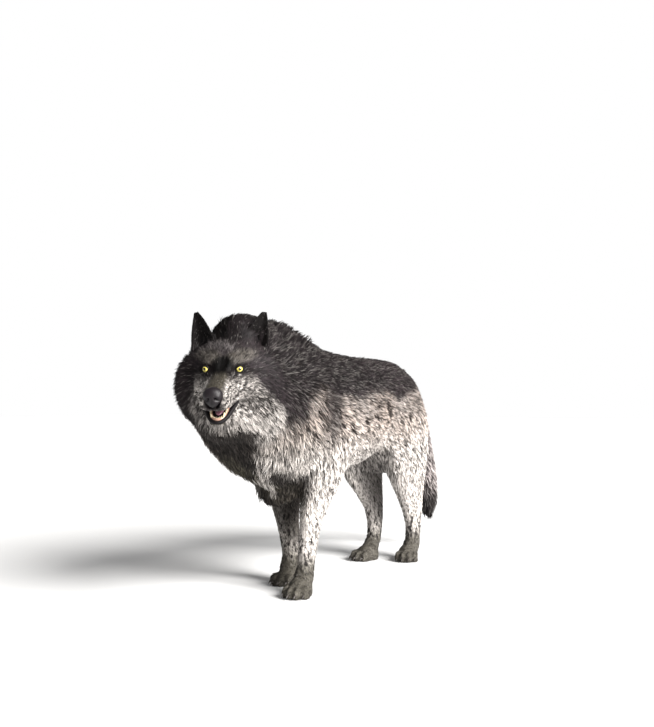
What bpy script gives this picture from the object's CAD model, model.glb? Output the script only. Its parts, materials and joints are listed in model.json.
"""The looks of the timber wolf: one skin, its coat in mesh tufts, eyes, nose, mouth and claws.

The file is laid out as an add-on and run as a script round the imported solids. The wolf faces -Y with its
left side at +X. The skin lies inside the solids by the depth of the coat, and carries the lie, length and
lift of the hair as attributes. Each coat piece grows its tufts from that skin. Skin and tufts take their
colours from the same markings.
"""

import json
import math
from contextlib import contextmanager

import bmesh
import bpy
import numpy as np
from bpy.props import FloatProperty, FloatVectorProperty, IntProperty, PointerProperty
from mathutils import Matrix, Vector
from mathutils.bvhtree import BVHTree
from mathutils.kdtree import KDTree

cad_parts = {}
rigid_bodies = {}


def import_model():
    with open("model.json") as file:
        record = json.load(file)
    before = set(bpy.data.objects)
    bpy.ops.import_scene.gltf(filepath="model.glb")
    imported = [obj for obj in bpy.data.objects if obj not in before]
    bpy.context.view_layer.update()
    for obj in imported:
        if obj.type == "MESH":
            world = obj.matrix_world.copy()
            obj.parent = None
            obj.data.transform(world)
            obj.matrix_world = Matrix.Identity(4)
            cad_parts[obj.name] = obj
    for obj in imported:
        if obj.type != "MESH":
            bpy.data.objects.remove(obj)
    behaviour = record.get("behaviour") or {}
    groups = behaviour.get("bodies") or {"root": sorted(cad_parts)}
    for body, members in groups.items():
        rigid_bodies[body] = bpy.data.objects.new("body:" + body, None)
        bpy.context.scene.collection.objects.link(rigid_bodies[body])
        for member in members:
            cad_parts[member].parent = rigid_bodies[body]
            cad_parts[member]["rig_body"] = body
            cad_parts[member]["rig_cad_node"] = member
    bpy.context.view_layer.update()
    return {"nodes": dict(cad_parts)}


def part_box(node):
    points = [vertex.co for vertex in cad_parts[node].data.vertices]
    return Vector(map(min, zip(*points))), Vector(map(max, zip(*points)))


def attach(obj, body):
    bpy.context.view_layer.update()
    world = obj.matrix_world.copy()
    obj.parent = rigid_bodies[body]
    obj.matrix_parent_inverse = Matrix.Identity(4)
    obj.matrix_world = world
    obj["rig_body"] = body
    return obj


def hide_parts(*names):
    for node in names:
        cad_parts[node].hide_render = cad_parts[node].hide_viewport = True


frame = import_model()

bl_info = {
    "name": "Timber wolf",
    "version": (1, 0, 0),
    "blender": (4, 5, 0),
    "location": "3D View > Sidebar > Wolf",
    "description": "Builds the skin, coat, eyes, nose, mouth and claws of a timber wolf round its solids",
    "category": "Object",
}

LEGS = ("front_left", "front_right", "hind_left", "hind_right")
TOES = ("outer", "mid_outer", "mid_inner", "inner")
PARTS = (
    ["head", "jaw", "neck", "trunk", "tail", "ear_left", "ear_right"]
    + [f"leg_{leg}" for leg in LEGS]
    + [f"paw_{leg}" for leg in LEGS]
)
SIDES = ((1, "left"), (-1, "right"))


# ---------------------------------------------------------------- the head's own frame
def middle(node):
    low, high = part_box(node)
    return (low + high) / 2


NOSE_AHEAD, NOSE_BELOW = 0.147, 0.061  # from the midpoint of the eyes to the middle of the nose


def head_frame():
    """Axes of the head: origin between the eyes, X to the wolf's left, -Y along the muzzle, Z up."""
    left, right, nose = middle("eye_left"), middle("eye_right"), middle("nose")
    origin = (left + right) / 2
    across = (left - right).normalized()
    reach = nose - origin
    reach = (reach - across * reach.dot(across)).normalized()
    tilt = math.atan2(NOSE_BELOW, NOSE_AHEAD)
    ahead = Matrix.Rotation(tilt, 3, across) @ reach
    if ahead.z < reach.z:
        ahead = Matrix.Rotation(-tilt, 3, across) @ reach
    up = across.cross(-ahead)
    turned = Matrix((across, -ahead, up)).transposed().to_4x4()
    return Matrix.Translation(origin) @ turned


HEAD = head_frame()
HEAD_TURN = np.array(HEAD.to_3x3())
HEAD_PLACE = np.array(HEAD.translation)
JAW_HINGE, JAW_OPEN = Vector((0.0, -0.044, -0.085)), math.radians(26.0)
JAW_SWING = Matrix.Rotation(JAW_OPEN, 4, "X")
JAW = HEAD @ Matrix.Translation(JAW_HINGE) @ JAW_SWING @ Matrix.Translation(-JAW_HINGE)
EYE_OUTWARD, EYE_UPWARD = math.radians(24.0), math.radians(4.0)
EYE_HALF_APART = (middle("eye_left") - middle("eye_right")).length / 2
EYE_RADIUS = 0.0125


def eye_frame(side):
    """The eye's own frame: its centre, with the line of sight along -Y."""
    turn = Matrix.Rotation(EYE_OUTWARD * side, 4, "Z") @ Matrix.Rotation(-EYE_UPWARD, 4, "X")
    return HEAD @ Matrix.Translation((EYE_HALF_APART * side, 0, 0)) @ turn


def in_head(points):
    """World points in the head's own frame."""
    return (points - HEAD_PLACE) @ HEAD_TURN


def into(matrix, points):
    """World points in the frame of a matrix."""
    return (points - np.array(matrix.translation)) @ np.array(matrix.to_3x3())


def out_of(matrix, points):
    """Points in the frame of a matrix, in the world."""
    return points @ np.array(matrix.to_3x3()).T + np.array(matrix.translation)


# ---------------------------------------------------------------- numbers and fields
def ease(value, low, high):
    """0 below `low`, 1 above `high` and a soft rise between, or falling where `low` is above `high`."""
    share = np.clip((value - low) / (high - low), 0.0, 1.0)
    return share * share * (3.0 - 2.0 * share)


def unit(vectors):
    return vectors / np.maximum(np.linalg.norm(vectors, axis=-1, keepdims=True), 1e-9)


def ripple(points, size, seed, waves=7):
    """A smooth random field from about -1 to 1, whose lumps are about `size` across."""
    draw = np.random.default_rng(seed)
    heading = unit(draw.normal(size=(waves, 3))) * (2.0 / size) * draw.uniform(0.6, 1.5, (waves, 1))
    phase = draw.uniform(0, math.tau, waves)
    return np.cos(points @ heading.T + phase).sum(axis=1) * (1.6 / waves)


def spot(u, v, centre_u, centre_v, half_u, half_v, hardness=2.0):
    """1 inside an oval, falling softly to 0 past its rim."""
    reach = np.sqrt(((u - centre_u) / half_u) ** 2 + ((v - centre_v) / half_v) ** 2)
    return ease(reach, 1.0 + 0.5 / hardness, 1.0 - 0.5 / hardness)


def column(values):
    return np.asarray(values, float)[:, None]


def mixed(under, tone, share):
    """Rows of colours with a tone laid over them by a share for each row."""
    return under + (tone - under) * column(share)


# ---------------------------------------------------------------- what a user may change
def tint(name, description, default):
    return FloatVectorProperty(
        name=name, description=description, default=default, size=3, min=0.0, max=1.0, subtype="COLOR"
    )


class WolfColours(bpy.types.PropertyGroup):
    """Colours of the coat, from which the markings are mixed."""

    charcoal: tint("Charcoal", "Saddle, mane and tail", (0.0255, 0.0195, 0.0215))
    soot: tint("Soot", "Ears, eye line and dark hair tips", (0.006, 0.004, 0.004))
    grizzle: tint("Grizzle", "Pale hairs in the dark coat", (0.160, 0.145, 0.143))
    buff: tint("Buff", "Flank and shoulder", (0.500, 0.390, 0.325))
    cream: tint("Cream", "Belly, legs and cheeks", (0.780, 0.725, 0.680))
    stone: tint("Stone", "Paws and lower face", (0.085, 0.077, 0.057))
    olive: tint("Olive", "Brows and bridge of the muzzle", (0.056, 0.050, 0.038))
    umber: tint("Umber", "Throat and crown", (0.016, 0.012, 0.0105))


class WolfCoat(bpy.types.PropertyGroup):
    """How the tufts grow."""

    fullness: FloatProperty(
        name="Fullness", description="Number of tufts, against the usual", default=1.0, min=0.05
    )
    clumping: FloatProperty(
        name="Clumping", description="How far tufts lean to one tip", default=0.55, subtype="FACTOR"
    )
    parting: FloatProperty(
        name="Parting", description="Darkness of the gaps between locks", default=0.62, subtype="FACTOR"
    )
    curl: FloatProperty(
        name="Curl", description="Sideways bow of a tuft, against its length", default=0.10, min=0.0
    )
    unruly: FloatProperty(
        name="Unruliness", description="Spread of the lie of the hair", default=0.16, subtype="FACTOR"
    )
    seed: IntProperty(name="Seed", description="Start of the random draws", default=11)


class WolfFace(bpy.types.PropertyGroup):
    """Sizes in the face."""

    iris: FloatProperty(name="Iris", description="Radius of the iris", default=0.0087, unit="LENGTH")
    pupil: FloatProperty(name="Pupil", description="Radius of the pupil", default=0.0037, unit="LENGTH")
    lid: FloatProperty(
        name="Lid rim", description="Width of the dark rim of the lids", default=0.0040, unit="LENGTH"
    )


# ---------------------------------------------------------------- objects and materials
def deselect():
    if bpy.context.mode != "OBJECT":
        bpy.ops.object.mode_set(mode="OBJECT")
    bpy.ops.object.select_all(action="DESELECT")


def only(piece):
    deselect()
    piece.select_set(True)
    bpy.context.view_layer.objects.active = piece
    return piece


def added(name):
    """Names the object that an operator has just made, and sets its place into its mesh."""
    piece = bpy.context.active_object
    only(piece)
    bpy.ops.object.transform_apply(location=True, rotation=True, scale=True)
    piece.name = piece.data.name = name
    return piece


def joined(name, pieces):
    deselect()
    for piece in pieces:
        piece.select_set(True)
    bpy.context.view_layer.objects.active = pieces[0]
    if len(pieces) > 1:
        bpy.ops.object.join()
    pieces[0].name = pieces[0].data.name = name
    return pieces[0]


def finished(piece, material, slot, *nodes):
    """Gives a piece its material, lets it ride on the body, and names the solids it stands for."""
    if material is not None:
        piece.data.materials.clear()
        piece.data.materials.append(material)
    piece.data.shade_smooth()
    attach(piece, "root")
    if nodes:
        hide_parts(*nodes)
    return piece


@contextmanager
def editing(piece):
    """Edit mode on a piece, with all of its mesh selected."""
    only(piece)
    bpy.ops.object.mode_set(mode="EDIT")
    bpy.ops.mesh.select_all(action="SELECT")
    yield
    bpy.ops.object.mode_set(mode="OBJECT")


def rows_of(items, field, width, kind=np.float32):
    """One field of all vertices, edges or faces, as an array with a row for each."""
    flat = np.empty(len(items) * width, kind)
    items.foreach_get(field, flat)
    return flat.reshape(-1, width) if width > 1 else flat


def places(mesh):
    return rows_of(mesh.vertices, "co", 3).astype(float)


def put(mesh, points):
    mesh.vertices.foreach_set("co", np.asarray(points, np.float32).ravel())
    mesh.update()


def facings(mesh):
    return rows_of(mesh.vertex_normals, "vector", 3).astype(float)


def corners(mesh):
    """The three vertices of each triangle of a triangulated mesh."""
    mesh.calc_loop_triangles()
    return rows_of(mesh.loop_triangles, "vertices", 3, np.int32)


# The field that holds the values of each kind of attribute, and the type of its numbers.
ATTRIBUTE_KINDS = {
    "FLOAT": ("value", np.float32),
    "INT": ("value", np.int32),
    "FLOAT_VECTOR": ("vector", np.float32),
    "FLOAT_COLOR": ("color", np.float32),
}


def keep_attribute(mesh, name, kind, values):
    made = mesh.attributes.new(name, kind, "POINT")
    field, number = ATTRIBUTE_KINDS[kind]
    made.data.foreach_set(field, np.ascontiguousarray(values, number).ravel())


def read_attribute(mesh, name, width=1):
    held = mesh.attributes[name]
    field, number = ATTRIBUTE_KINDS[held.data_type]
    return rows_of(held.data, field, width, number)


def colour_rows(rgb):
    return np.concatenate([rgb, np.ones((len(rgb), 1))], axis=1)


class Nodes:
    """A node tree that is filled from left to right, with short words for what it does."""

    def __init__(self, tree):
        self.tree = tree
        self.count = 0

    def add(self, kind, **settings):
        node = self.tree.nodes.new(kind)
        node.location = (self.count * 190, -(self.count % 3) * 130)
        self.count += 1
        for key, value in settings.items():
            setattr(node, key, value)
        return node

    def give(self, target, value):
        """Joins an input to another node's socket, or sets it to a number or a colour."""
        if isinstance(value, bpy.types.NodeSocket):
            self.tree.links.new(value, target)
        else:
            target.default_value = value

    def feed(self, node, **values):
        """Gives a node its named inputs."""
        for key, value in values.items():
            self.give(node.inputs[key.replace("_", " ")], value)
        return node

    def math(self, operation, *values):
        """The result of a Math node on numbers or sockets."""
        node = self.add("ShaderNodeMath", operation=operation)
        for target, value in zip(node.inputs, values):
            self.give(target, value)
        return node.outputs[0]


def new_group(name, inputs, outputs):
    """An empty node group with named sockets, each (name, kind, default)."""
    group = bpy.data.node_groups.new(name, "ShaderNodeTree")
    for label, kind, default in inputs:
        socket = group.interface.new_socket(label, in_out="INPUT", socket_type=kind)
        if default is not None:
            socket.default_value = default
    for label, kind in outputs:
        group.interface.new_socket(label, in_out="OUTPUT", socket_type=kind)
    nodes = Nodes(group)
    return nodes, nodes.add("NodeGroupInput"), nodes.add("NodeGroupOutput")


def mottle_group():
    """Two sizes of noise over a colour, and the same noise as a roughness and a height."""
    nodes, given, out = new_group(
        "Mottle",
        (
            ("Colour", "NodeSocketColor", (0.5, 0.5, 0.5, 1.0)),
            ("Coarse size", "NodeSocketFloat", 0.02),
            ("Fine size", "NodeSocketFloat", 0.002),
            ("Strength", "NodeSocketFloat", 0.3),
            ("Roughness", "NodeSocketFloat", 0.5),
            ("Roughness spread", "NodeSocketFloat", 0.1),
        ),
        (("Colour", "NodeSocketColor"), ("Roughness", "NodeSocketFloat"), ("Height", "NodeSocketFloat")),
    )
    where = nodes.add("ShaderNodeTexCoord").outputs["Object"]
    noises = []
    for label, detail in (("Coarse size", 3.0), ("Fine size", 2.0)):
        scale = nodes.math("DIVIDE", 1.0, given.outputs[label])
        noise = nodes.feed(nodes.add("ShaderNodeTexNoise"), Vector=where, Scale=scale, Detail=detail)
        noises.append(noise.outputs["Fac"])
    both = nodes.math("ADD", *noises)
    swing = nodes.math("SUBTRACT", both, 1.0)
    factor = nodes.math("MULTIPLY_ADD", swing, given.outputs["Strength"], 1.0)
    scaled = nodes.add("ShaderNodeVectorMath", operation="SCALE")
    nodes.feed(scaled, Vector=given.outputs["Colour"], Scale=factor)
    rough = nodes.math("MULTIPLY_ADD", swing, given.outputs["Roughness spread"], given.outputs["Roughness"])
    nodes.feed(out, Colour=scaled.outputs[0], Roughness=rough, Height=both)


def leather_group():
    """Fine rounded cells with creases between them, as on a nose, a lip or a pad."""
    nodes, given, out = new_group(
        "Leather grain",
        (("Cell size", "NodeSocketFloat", 0.0015), ("Crease", "NodeSocketFloat", 0.5)),
        (("Height", "NodeSocketFloat"), ("Creases", "NodeSocketFloat")),
    )
    where = nodes.add("ShaderNodeTexCoord").outputs["Object"]
    scale = nodes.math("DIVIDE", 1.0, given.outputs["Cell size"])
    cells = nodes.add("ShaderNodeTexVoronoi", feature="DISTANCE_TO_EDGE")
    nodes.feed(cells, Vector=where, Scale=scale)
    soft = nodes.add("ShaderNodeMapRange", interpolation_type="SMOOTHSTEP")
    nodes.feed(soft, Value=cells.outputs["Distance"], From_Max=0.30)
    crease = nodes.math("SUBTRACT", 1.0, soft.outputs["Result"])
    held = nodes.math("MULTIPLY", crease, given.outputs["Crease"])
    nodes.feed(out, Height=soft.outputs["Result"], Creases=held)


def new_material(name):
    material = bpy.data.materials.new(name)
    material.use_nodes = True
    nodes = Nodes(material.node_tree)
    shader = material.node_tree.nodes["Principled BSDF"]
    return material, nodes, shader


def use_group(nodes, name, **values):
    node = nodes.add("ShaderNodeGroup")
    node.node_tree = bpy.data.node_groups[name]
    return nodes.feed(node, **values)


def bump(nodes, height, shader, strength, distance):
    node = nodes.feed(nodes.add("ShaderNodeBump"), Strength=strength, Distance=distance, Height=height)
    nodes.feed(shader, Normal=node.outputs["Normal"])


def pelt_material(name, coarse, fine, strength, roughness, bump_depth=0.0):
    """Hair or skin whose colour comes from the markings, held in the attribute `pelt`."""
    _, nodes, shader = new_material(name)
    held = nodes.add("ShaderNodeAttribute", attribute_name="pelt")
    mottle = use_group(
        nodes, "Mottle", Colour=held.outputs["Color"], Coarse_size=coarse, Fine_size=fine, Strength=strength,
        Roughness=roughness, Roughness_spread=0.12,
    )
    nodes.feed(shader, Base_Color=mottle.outputs["Colour"], Roughness=mottle.outputs["Roughness"])
    nodes.feed(shader, Specular_IOR_Level=0.10)
    if bump_depth:
        bump(nodes, mottle.outputs["Height"], shader, 0.8, bump_depth)


def plain_material(
    name, colour, roughness, coarse, fine, strength, cell=0.0, crease=0.5, coat=0.0, depth=0.0003, shine=0.5
):
    """Bare skin, horn or gum: a mottled colour, with leather cells where `cell` is not 0."""
    _, nodes, shader = new_material(name)
    mottle = use_group(
        nodes, "Mottle", Colour=(*colour, 1.0), Coarse_size=coarse, Fine_size=fine, Strength=strength,
        Roughness=roughness, Roughness_spread=0.15,
    )
    source, height = mottle.outputs["Colour"], mottle.outputs["Height"]
    if cell:
        grain = use_group(nodes, "Leather grain", Cell_size=cell, Crease=crease)
        darker = nodes.add("ShaderNodeMix", data_type="RGBA")
        in_crease = (*(c * 0.35 for c in colour), 1.0)
        nodes.feed(darker, Factor=grain.outputs["Creases"], A=source, B=in_crease)
        source, height = darker.outputs["Result"], grain.outputs["Height"]
    nodes.feed(shader, Base_Color=source, Roughness=mottle.outputs["Roughness"])
    nodes.feed(shader, Coat_Weight=coat, Coat_Roughness=0.15, Specular_IOR_Level=shine)
    bump(nodes, height, shader, 0.6, depth)


# Colours of the eye from its middle outwards, each with its share of the reach.
RAMP_REACH = 1.25  # radius up to which the colours run, against the iris's
PUPIL_BLACK = (0.002, 0.002, 0.002)
PUPIL_EDGE = (0.190, 0.130, 0.010)
IRIS_STOPS = (
    (0.48, (0.800, 0.660, 0.120)),
    (0.68, (0.860, 0.780, 0.230)),
    (0.77, (0.330, 0.250, 0.040)),
    (0.82, (0.012, 0.010, 0.006)),
    (1.0, (0.020, 0.014, 0.012)),
)


def eye_material(side, label, face):
    """Iris with dark rim and streaks round a black pupil, read from the place on the ball."""
    _, nodes, shader = new_material(f"eye_{label}")
    where = nodes.add("ShaderNodeTexCoord").outputs["Object"]
    moved = nodes.add("ShaderNodeMapping", vector_type="TEXTURE")
    place = eye_frame(side)
    nodes.feed(moved, Vector=where, Location=place.translation, Rotation=place.to_euler())
    split = nodes.feed(nodes.add("ShaderNodeSeparateXYZ"), Vector=moved.outputs[0])
    flat = nodes.feed(nodes.add("ShaderNodeCombineXYZ"), X=split.outputs["X"], Y=split.outputs["Z"])
    radius = nodes.feed(nodes.add("ShaderNodeVectorMath", operation="LENGTH"), Vector=flat.outputs[0])
    around = nodes.feed(nodes.add("ShaderNodeVectorMath", operation="NORMALIZE"), Vector=flat.outputs[0])
    streaks = nodes.feed(nodes.add("ShaderNodeTexNoise"), Vector=around.outputs[0], Scale=7.0, Detail=4.0)
    share = nodes.add("ShaderNodeMapRange", clamp=True)
    nodes.feed(share, Value=radius.outputs["Value"], From_Max=face.iris * RAMP_REACH)
    ramp = nodes.feed(nodes.add("ShaderNodeValToRGB"), Fac=share.outputs["Result"])
    pupil_end = face.pupil / (face.iris * RAMP_REACH)
    pupil = ((0.0, PUPIL_BLACK), (pupil_end - 0.02, PUPIL_BLACK), (pupil_end + 0.03, PUPIL_EDGE))
    stops = (*pupil, *IRIS_STOPS)
    for element, (position, colour) in zip(ramp.color_ramp.elements, (stops[0], stops[-1])):
        element.position = position
        element.color = (*colour, 1.0)
    for position, colour in stops[1:-1]:
        ramp.color_ramp.elements.new(position).color = (*colour, 1.0)
    streaked = nodes.add("ShaderNodeMapRange", clamp=True)
    nodes.feed(streaked, Value=streaks.outputs["Fac"], To_Min=0.55, To_Max=1.25)
    shaded = nodes.add("ShaderNodeVectorMath", operation="SCALE")
    nodes.feed(shaded, Vector=ramp.outputs["Color"], Scale=streaked.outputs["Result"])
    nodes.feed(shader, Base_Color=shaded.outputs[0], Roughness=0.25, Coat_Weight=0.35, Coat_Roughness=0.05)


# Finishes of the bare pieces: colour, roughness, and the mottling's sizes and strength, then their extras.
BARE_FINISHES = {
    "nose": (
        ((0.0066, 0.0038, 0.0056), 0.46, 0.006, 0.001, 0.3),
        {"cell": 0.0014, "crease": 0.35, "depth": 0.00015, "shine": 0.34},
    ),
    "lid_rim": (
        ((0.003, 0.002, 0.002), 0.62, 0.004, 0.0006, 0.3),
        {"cell": 0.0009, "crease": 0.2, "depth": 0.0001, "shine": 0.20},
    ),
    "lip": (
        ((0.005, 0.0036, 0.0042), 0.60, 0.006, 0.001, 0.4),
        {"cell": 0.0013, "crease": 0.2, "depth": 0.0001, "shine": 0.16},
    ),
    "gum": (((0.640, 0.400, 0.300), 0.34, 0.006, 0.0012, 0.4), {"coat": 0.6}),
    "tooth": (((0.780, 0.660, 0.430), 0.30, 0.005, 0.0015, 0.2), {"coat": 0.5, "depth": 0.0001}),
    "tongue": (
        ((0.008, 0.0025, 0.005), 0.66, 0.006, 0.001, 0.4),
        {"cell": 0.0011, "crease": 0.3, "coat": 0.04},
    ),
    "claw": (((0.035, 0.028, 0.024), 0.42, 0.006, 0.0008, 0.5), {"coat": 0.15, "depth": 0.0002}),
}


def build_materials(face):
    mottle_group()
    leather_group()
    pelt_material("skin", 0.012, 0.0012, 0.5, 0.70, 0.0012)
    pelt_material("coat", 0.030, 0.0030, 0.45, 0.58)
    for name, (finish, extras) in BARE_FINISHES.items():
        plain_material(name, *finish, **extras)
    for side, label in SIDES:
        eye_material(side, label, face)


# ---------------------------------------------------------------- the coat's markings
THROAT_MIDDLE = 0.015  # middle of the throat and chest, which turn with the head
THROAT_HEIGHTS = (0.30, 0.34, 0.355, 0.37, 0.385, 0.40, 0.425, 0.445, 0.47, 0.51)
THROAT_HALVES = (0.064, 0.068, 0.072, 0.072, 0.069, 0.060, 0.064, 0.074, 0.090, 0.104)
CHEST_STRIPE_HEIGHTS = (0.30, 0.33, 0.36, 0.386, 0.41, 0.433)
CHEST_STRIPE = (-0.006, 0.002, 0.024, 0.048, 0.072, 0.093)
FORE_MIDDLE = -0.018  # between the forelegs
SADDLE_HEIGHT = 0.632  # lower edge of the dark saddle
# Where the pale cheek ends on the head's right.
SHADED_CHEEK_HEIGHTS = (-0.190, -0.156, -0.110, -0.069, -0.033)
SHADED_CHEEK_ENDS = (0.066, 0.092, 0.102, 0.090, 0.084)
# Size across of the finest marks, each with the start of its own noise and the number of its waves.
LEG_FLECK = (0.0046, 8, 11)
FLANK_TICK = (0.0075, 12, 11)
CHEEK_SQUIGGLE = (0.0042, 9, 11)
CHIN_SPLIT = (0.0065, 16, 11)


def wolf_markings(points, colours):
    """The coat's colour at each point, and the shares of dark and of pale tufts among its hairs."""
    tone = {name: np.array(getattr(colours, name)) for name in WolfColours.__annotations__}
    rough = ripple(points, 0.060, 3)
    fine = ripple(points, 0.022, 4)
    rgb, dark, dark_share, pale_share = trunk_markings(points, tone, rough, fine)
    rgb, dark_share = leg_markings(points, tone, rough, rgb, dark, dark_share)
    rgb = mixed(rgb, tone["soot"], toe_gaps(points) * 0.85)

    # tail: charcoal with a black tip, paler towards its root
    z = points[:, 2]
    tail = ease(points[:, 1], 0.585, 0.625)
    rgb = mixed(rgb, tone["charcoal"], tail * 0.92)
    rgb = rgb * column(1.0 + 4.2 * tail * ease(z, 0.20, 0.28))
    rgb = mixed(rgb, tone["soot"], tail * ease(z, 0.20, 0.12) * 0.6)
    pale_share = pale_share + tail * 0.06

    # head, and the dark crown behind it
    _, back, up = in_head(points).T
    wide = np.abs(in_head(points)[:, 0])
    on_head = np.maximum(ease(back, 0.125, 0.080), ease(back, 0.185, 0.150) * ease(up, 0.05, 0.08))
    on_head = on_head * ease(z, 0.46, 0.50)
    face, face_dark, face_pale = head_markings(points, tone, rough, fine)
    rgb = rgb + (face - rgb) * column(on_head)
    crown = ease(up, 0.070, 0.095) * ease(back, 0.27, 0.21) * ease(wide, 0.105, 0.075)
    rgb = rgb * column(1.0 - 0.50 * crown)
    dark_share = dark_share + (face_dark - dark_share) * on_head
    pale_share = pale_share + (face_pale - pale_share) * on_head
    return np.clip(rgb, 0.0, 1.0), dark_share, pale_share


def trunk_markings(points, tone, rough, fine):
    """Cream below, buff on the flank, a dark saddle and mane, and a near-black throat and breast."""
    x, y, z = points.T
    rgb = np.tile(tone["cream"], (len(points), 1))
    rgb = mixed(rgb, tone["buff"], ease(z, 0.40, 0.55) * (0.62 + 0.2 * rough))
    edge = SADDLE_HEIGHT + 0.024 * rough + 0.03 * ease(y, 0.32, 0.52)
    saddle = np.maximum(ease(z, edge - 0.038, edge + 0.034), 0.52 * ease(z, edge - 0.120, edge - 0.025))
    shoulder_stripe = spot(y + 0.02 * rough, z, -0.212, 0.60, 0.085, 0.125, 0.7) * 0.92
    mane_edge = -0.425 + (z - 0.50) * 0.55 + 0.014 * rough
    mane = ease(y, mane_edge + 0.050, mane_edge - 0.030) * ease(z, 0.455, 0.50)
    ruff_edge = 0.525 + 0.6 * np.maximum(-0.50 - y, 0.0) + 0.014 * rough - 0.08 * ease(x, 0.02, -0.04)
    mane = mane * ease(z, ruff_edge - 0.045, ruff_edge + 0.045)
    dark = np.maximum(np.maximum(saddle, shoulder_stripe), mane)
    rgb = mixed(rgb, tone["charcoal"], dark)
    rgb = mixed(rgb, tone["stone"], 0.22 * ease(y, -0.22, -0.34) * ease(z, 0.56, 0.50) * (1.0 - dark))
    cloud = ripple(points * (1.0, 0.5, 1.0), 0.016, 14, 11)
    front = 0.56 * ease(y, 0.34, -0.06) * ease(z, 0.60, 0.70)
    rgb = rgb * column(1.0 + dark * (0.12 + 0.42 * cloud - front))

    # throat and breast
    half = np.interp(z, THROAT_HEIGHTS, THROAT_HALVES) + 0.006 * fine
    throat = ease(np.abs(x - THROAT_MIDDLE) + 0.006 * rough, half + 0.024, half - 0.018)
    throat = throat * ease(z, 0.535, 0.505) * ease(y, -0.14, -0.22) * ease(z, 0.24, 0.30)
    rgb = mixed(rgb, tone["umber"], throat * 0.95)
    rgb = mixed(rgb, tone["stone"] * 1.4, throat * ease(z, 0.47, 0.41) * ease(x, 0.050, 0.015) * 0.85)
    stripe = np.abs(x - np.interp(z, CHEST_STRIPE_HEIGHTS, CHEST_STRIPE))
    stripe = ease(stripe, 0.0120, 0.0080) * ease(z, 0.292, 0.306) * ease(z, 0.455, 0.425)
    stripe = stripe * ease(-y, 0.30, 0.33)
    rgb = mixed(rgb, tone["cream"], stripe * 0.95)
    throat = throat * (1.0 - stripe)
    dark_share = (0.29 + 0.08 * dark + 0.1 * throat) * (1.0 - 0.8 * stripe)
    pale_share = 0.13 + 0.13 * dark - 0.10 * throat
    return rgb, np.maximum(dark, throat), dark_share, pale_share


def leg_markings(points, tone, rough, rgb, dark, dark_share):
    """Flecked legs, dark on the inner side, with stone-coloured paws, and ticks on the flank."""
    x, y, z = points.T
    dark_share = dark_share + ease(z, 0.36, 0.24) * (0.02 + 0.14 * ease(z, 0.26, 0.12))
    off_middle = np.abs(x - FORE_MIDDLE)
    right = x < -0.02
    inner = ease(off_middle, 0.070, 0.042) * ease(z, 0.46, 0.36) * ease(z, 0.09, 0.16) * ease(-y, 0.70, 0.60)
    inner = inner * ease(y, 0.62, 0.58) * ease(y, -0.36, -0.31)
    rgb = mixed(rgb, tone["charcoal"], inner * (0.80 - 0.25 * ease(y, 0.0, 0.05)))
    fore = ease(y, -0.02, -0.08) * ease(y, -0.36, -0.31) * ease(z, 0.40, 0.35)
    fore = fore * ease(off_middle, 0.112, 0.060 + 0.040 * right)
    rgb = mixed(rgb, tone["stone"], fore * (0.35 + 0.30 * ease(z, 0.12, 0.22)) * (1.0 - 0.5 * (x > -0.02)))
    rgb = mixed(rgb, tone["charcoal"], fore * ease(z, 0.14, 0.24) * 0.55 * right)
    rgb = mixed(rgb, tone["stone"], ease(z, 0.145, 0.070) * 0.90)
    rgb = rgb * column(1.0 - 0.28 * ease(z, 0.10, 0.06))

    haunch = ease(y, 0.24, 0.34) * ease(z, 0.64, 0.57)
    leg = np.maximum(ease(z, 0.46, 0.38), haunch)
    streak = ripple(points * (1.0, 0.8, 0.55), *LEG_FLECK)
    bar = 0.58 - 0.40 * ease(z, 0.30, 0.12) - 0.20 * haunch * ease(z, 0.42, 0.54)
    fleck = ease(streak, bar - 0.04, bar + 0.05) * leg * ease(z, 0.060, 0.085)
    rgb = mixed(rgb, tone["soot"], fleck * 0.92)
    along = np.stack([x, 0.26 * (0.89 * y - 0.45 * z), 0.45 * y + 0.89 * z], 1)
    streak = ripple(along, *FLANK_TICK) + 0.35 * rough
    bar = 0.48 - 0.18 * ease(z, 0.46, 0.56) + 0.2 * dark
    tick = ease(streak, bar - 0.08, bar + 0.12) * (1.0 - leg) * ease(y, -0.50, -0.44)
    return mixed(rgb, tone["umber"], tick * 0.95), dark_share


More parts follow.
